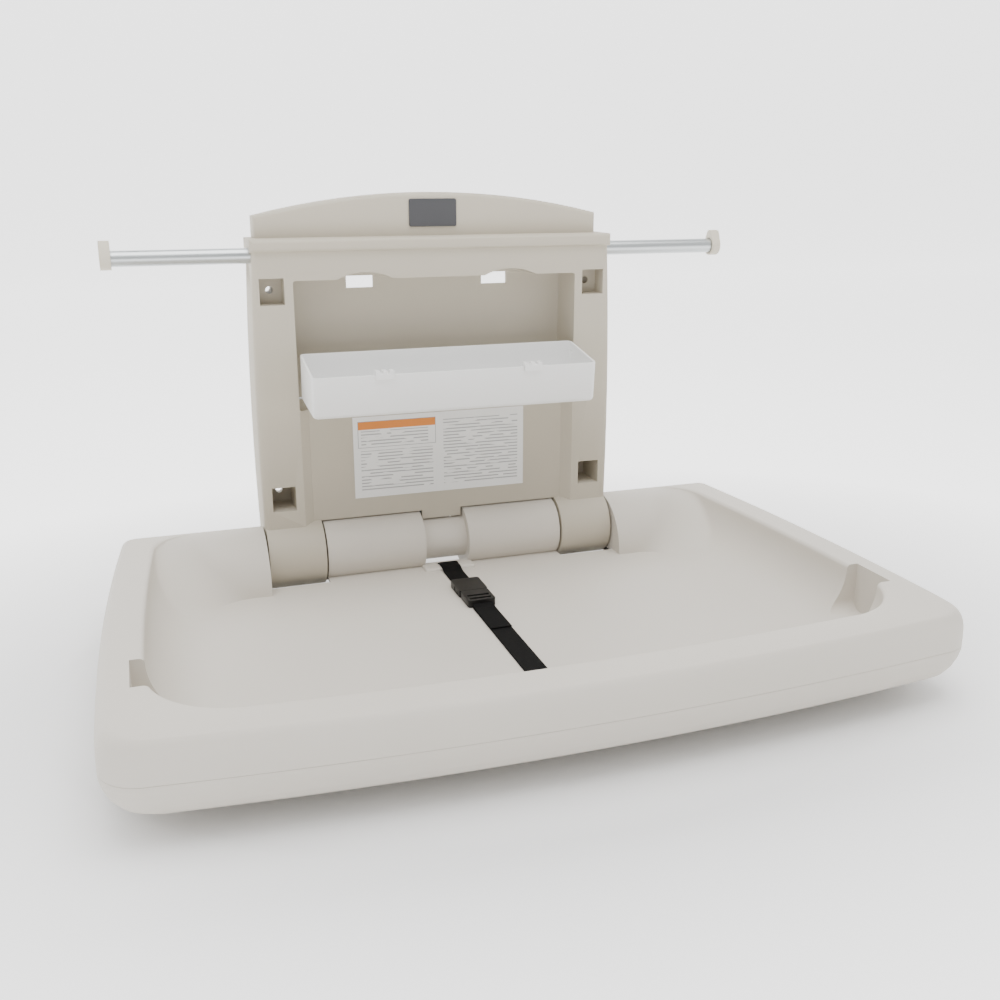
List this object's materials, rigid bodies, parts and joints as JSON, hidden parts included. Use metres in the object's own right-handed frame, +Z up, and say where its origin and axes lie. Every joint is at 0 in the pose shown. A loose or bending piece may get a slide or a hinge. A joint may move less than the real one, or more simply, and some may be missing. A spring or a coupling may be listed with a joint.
{
  "type": "changing table",
  "caption": "Wall-mounted horizontal changing table: a basin bed folds down from a back panel with a bar, a fold-up bin and a safety strap with a side-release buckle.",
  "frame": {"origin": "on the wall plane, in the middle of the width, at the height of the hinge line, on the back face of the steel hinge plate", "axes": "+X to the right seen from the front, +Y into the wall, +Z up; the bed folds out towards -Y"},
  "size_m": [0.845, 0.58, 0.4993],
  "materials": {
    "panel_plastic": "fine moulded texture, warm light grey",
    "bed_plastic": "fine moulded texture, light grey",
    "white_plastic": "smooth moulded white",
    "cap_plastic": "smooth moulded beige",
    "aluminium": "satin drawn bar",
    "steel": "plated",
    "nylon": "plain moulded",
    "black_plastic": "plain moulded",
    "buckle_plastic": "plain moulded dark grey",
    "webbing": "woven black webbing",
    "label_stock": "printed film",
    "badge_plate": "plain dark plate"
  },
  "bodies": {
    "wall_unit": {"back_panel": "panel_plastic", "grab_bar": "aluminium", "bar_cap_left": "cap_plastic", "bar_cap_right": "cap_plastic", "bar_saddle_left": "aluminium", "bar_saddle_right": "aluminium", "hinge_bush_left": "nylon", "hinge_bush_right": "nylon", "hinge_damper": "black_plastic", "hinge_wall_plate": "steel", "bin_pin_left": "steel", "bin_pin_right": "steel", "rail_stiffener_left": "steel", "rail_stiffener_right": "steel", "label": "label_stock", "badge": "badge_plate"},
    "bed": {"bed_tray": "bed_plastic", "bed_base": "bed_plastic", "hinge_axle": "steel", "hinge_arm_left": "steel", "hinge_arm_right": "steel", "cross_bar": "steel", "strap_rear": "webbing", "strap_front": "webbing", "strap_tail": "webbing", "strap_keeper_rear": "steel", "strap_keeper_front": "steel", "buckle_socket": "buckle_plastic", "buckle_plug": "buckle_plastic", "base_screw_1": "steel", "base_screw_2": "steel", "base_screw_3": "steel", "base_screw_4": "steel", "base_screw_5": "steel", "base_screw_6": "steel"},
    "bin_body": {"bin": "white_plastic", "bin_clip_left": "white_plastic", "bin_clip_right": "white_plastic"},
    "prong_left": {"buckle_prong_left": "buckle_plastic"},
    "prong_right": {"buckle_prong_right": "buckle_plastic"}
  },
  "joints": [
    {"name": "bed_fold", "type": "hinge", "parent": "wall_unit", "child": "bed", "pos_m": [0, -0.041, 0], "axis": [-1, 0, 0], "range_deg": [0, 90]},
    {"name": "bin_fold", "type": "hinge", "parent": "wall_unit", "child": "bin_body", "pos_m": [0, -0.058, 0.2015], "axis": [-1, 0, 0], "range_deg": [0, 95]},
    {"name": "prong_left_press", "type": "slide", "parent": "bed", "child": "prong_left", "axis": [1, 0, 0], "range_m": [0, 0.002], "stiffness_N_per_m": 400},
    {"name": "prong_right_press", "type": "slide", "parent": "bed", "child": "prong_right", "axis": [-1, 0, 0], "range_m": [0, 0.002], "stiffness_N_per_m": 400}
  ],
  "couplings": [
    {"joint": "bin_fold", "follows": "bed_fold", "ratio": 1.0555},
    {"joint": "prong_right_press", "follows": "prong_left_press", "ratio": 1}
  ]
}
